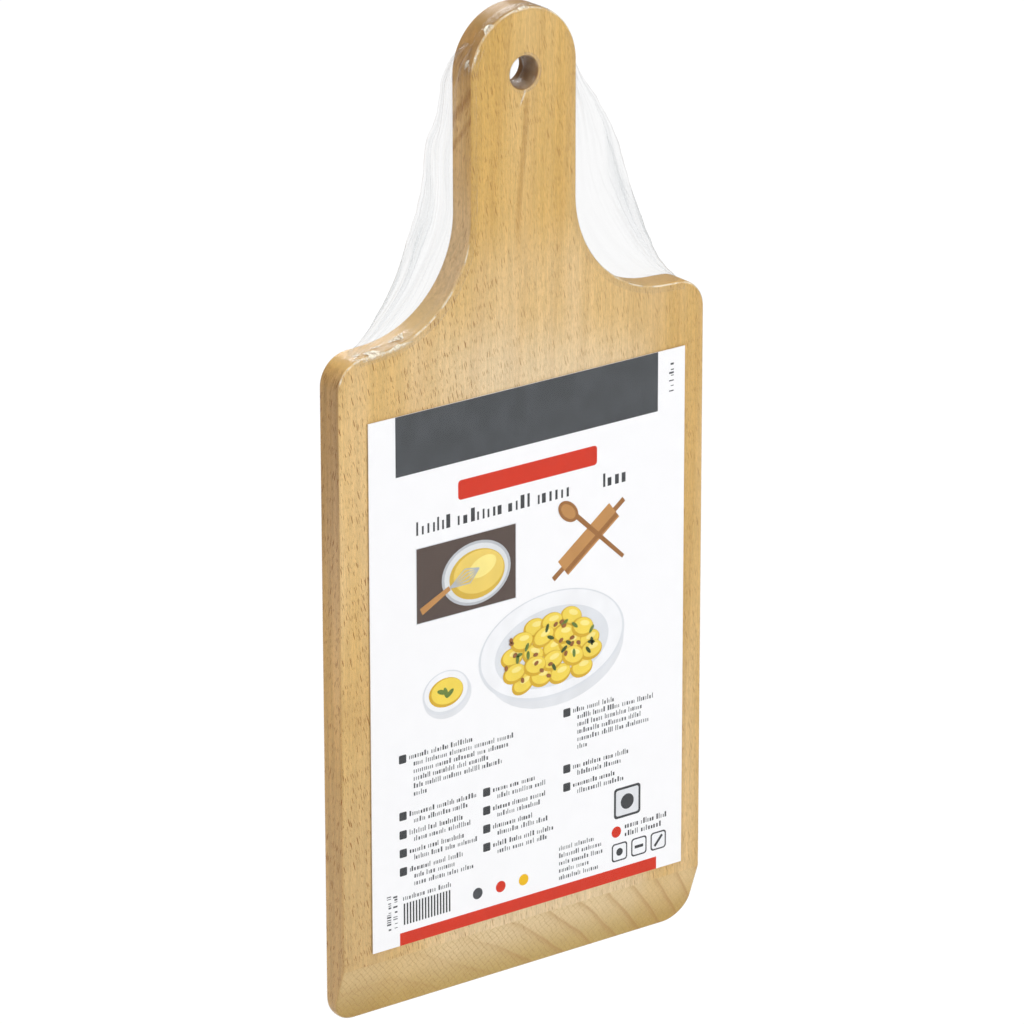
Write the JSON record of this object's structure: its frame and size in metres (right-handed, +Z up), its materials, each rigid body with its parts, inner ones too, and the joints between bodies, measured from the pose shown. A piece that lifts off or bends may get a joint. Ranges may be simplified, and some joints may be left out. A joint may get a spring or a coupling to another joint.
{
  "type": "spaetzle board",
  "caption": "Flat beech paddle with a handle, hanging hole and scraping bevel for cutting dough strips into boiling water, with a printed card under clear shrink film.",
  "frame": {"origin": "centre of the hanging hole, halfway through the board's thickness", "axes": "+Z up along the handle, away from the scraping bevel; -Y out of the front face, which has the bevel and the card; X across the board's width"},
  "size_m": [0.141, 0.0116, 0.321],
  "materials": {
    "beech": "planed and sanded, unoiled",
    "printed_card": "smooth printed card",
    "clear_film": "clear, glossy, tightly shrunk"
  },
  "bodies": {
    "root": {"board": "beech", "printed_card": "printed_card", "shrink_film": "clear_film"}
  },
  "joints": []
}
